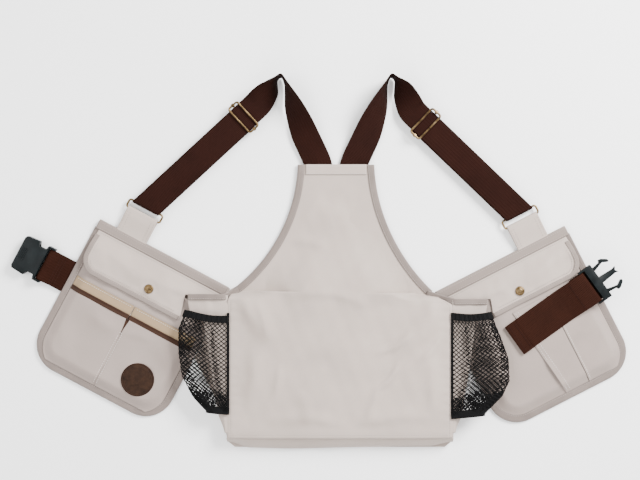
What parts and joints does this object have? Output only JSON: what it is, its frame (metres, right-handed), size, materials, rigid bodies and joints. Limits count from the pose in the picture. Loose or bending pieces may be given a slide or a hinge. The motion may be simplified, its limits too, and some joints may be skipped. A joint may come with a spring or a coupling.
{
  "type": "field vest",
  "caption": "Canvas field vest laid flat, with flapped front pockets, mesh side pockets, a rear bag, webbing shoulder straps with brass sliders and a waist belt with a side-release buckle",
  "frame": {"origin": "middle of the back panel, on its wearer side, which lies flat", "axes": "+X to the right as laid, +Y towards the neck, +Z out of the outer face"},
  "size_m": [0.8887, 0.5388, 0.041],
  "materials": {
    "canvas": "woven stone-coloured canvas",
    "binding": "ribbed grosgrain tape",
    "webbing": "dark brown ribbed webbing",
    "antique_brass": "antique, worn at the edges",
    "buckle_plastic": "moulded acetal, slightly grained",
    "mesh_net": "open black net",
    "elastic": "ribbed black elastic",
    "tan_trim": "tan canvas tape",
    "brown_trim": "brown tape",
    "badge_leather": "embossed dark leather"
  },
  "bodies": {
    "back": {"back_inner_panel": "canvas", "back_outer_panel": "canvas", "bottom_gusset": "canvas", "yoke_hem_band": "canvas", "left_armhole_binding": "binding", "left_side_gusset": "canvas", "left_mesh_elastic": "elastic", "left_mesh_pocket": "mesh_net", "left_shoulder_webbing": "webbing", "left_strap_return": "webbing", "right_armhole_binding": "binding", "right_side_gusset": "canvas", "right_mesh_elastic": "elastic", "right_mesh_pocket": "mesh_net", "right_shoulder_webbing": "webbing", "right_strap_return": "webbing"},
    "left_slider": {"left_slider_frame": "antique_brass", "left_slider_bar": "antique_brass", "left_strap_end": "webbing"},
    "right_slider": {"right_slider_frame": "antique_brass", "right_slider_bar": "antique_brass", "right_strap_end": "webbing"},
    "left_front": {"left_base_panel": "canvas", "left_pocket_panel": "canvas", "left_edge_binding": "binding", "left_top_band": "binding", "left_tab": "canvas", "left_strap_ring": "antique_brass", "left_strap_loop": "webbing", "left_snap_stud": "antique_brass", "left_rear_patch": "canvas", "left_tan_band": "tan_trim", "left_brown_band": "brown_trim", "left_front_patch_inner": "canvas", "left_front_patch_outer": "canvas", "leather_badge": "badge_leather", "left_belt_webbing": "webbing"},
    "socket": {"buckle_socket": "buckle_plastic"},
    "left_flap_panel": {"left_flap": "canvas", "left_flap_binding": "binding", "left_snap_cap": "antique_brass"},
    "right_front": {"right_base_panel": "canvas", "right_pocket_panel": "canvas", "right_edge_binding": "binding", "right_top_band": "binding", "right_tab": "canvas", "right_strap_ring": "antique_brass", "right_strap_loop": "webbing", "right_snap_stud": "antique_brass", "right_pleat_panel": "canvas", "right_patch_panel": "canvas", "right_belt_anchor": "webbing", "right_belt_webbing": "webbing"},
    "right_flap_panel": {"right_flap": "canvas", "right_flap_binding": "binding", "right_snap_cap": "antique_brass"},
    "plug": {"buckle_plug": "buckle_plastic"},
    "upper_arm": {"plug_arm_upper": "buckle_plastic"},
    "lower_arm": {"plug_arm_lower": "buckle_plastic"}
  },
  "joints": [
    {"name": "left_front_fold", "type": "hinge", "parent": "back", "child": "left_front", "pos_m": [-0.1534, 0.0158, 0], "axis": [-0.4695, -0.8829, 0], "range_deg": [0, 75]},
    {"name": "right_front_fold", "type": "hinge", "parent": "back", "child": "right_front", "pos_m": [0.1412, 0.009, 0], "axis": [-0.4555, 0.8902, 0], "range_deg": [0, 75]},
    {"name": "left_flap_hinge", "type": "hinge", "parent": "left_front", "child": "left_flap_panel", "pos_m": [-0.25663, 0.05596, 0.0059], "axis": [-0.8829, 0.4695, 0], "range_deg": [0, 140]},
    {"name": "right_flap_hinge", "type": "hinge", "parent": "right_front", "child": "right_flap_panel", "pos_m": [0.24505, 0.04754, 0.0059], "axis": [-0.8902, -0.4555, 0], "range_deg": [0, 140]},
    {"name": "left_slider_slide", "type": "slide", "parent": "back", "child": "left_slider", "axis": [-0.7349, -0.6782, 0], "range_m": [-0.004, 0.09]},
    {"name": "right_slider_slide", "type": "slide", "parent": "back", "child": "right_slider", "axis": [0.7219, -0.692, 0], "range_m": [-0.004, 0.09]},
    {"name": "socket_pivot", "type": "hinge", "parent": "left_front", "child": "socket", "pos_m": [-0.41915, 0.05064, 0.006], "axis": [0.4695, 0.8829, 0], "range_deg": [0, 80]},
    {"name": "plug_pivot", "type": "hinge", "parent": "right_front", "child": "plug", "pos_m": [0.3634, 0.0186, 0.0206], "axis": [0.5835, -0.8121, 0], "range_deg": [0, 45]},
    {"name": "upper_arm_flex", "type": "hinge", "parent": "plug", "child": "upper_arm", "pos_m": [0.36848, 0.04443, 0.0206], "axis": [0, 0, 1], "range_deg": [-5, 0], "stiffness_Nm_per_rad": 0.3},
    {"name": "lower_arm_flex", "type": "hinge", "parent": "plug", "child": "lower_arm", "pos_m": [0.38949, 0.01519, 0.0206], "axis": [0, 0, 1], "range_deg": [0, 5], "stiffness_Nm_per_rad": 0.3}
  ]
}
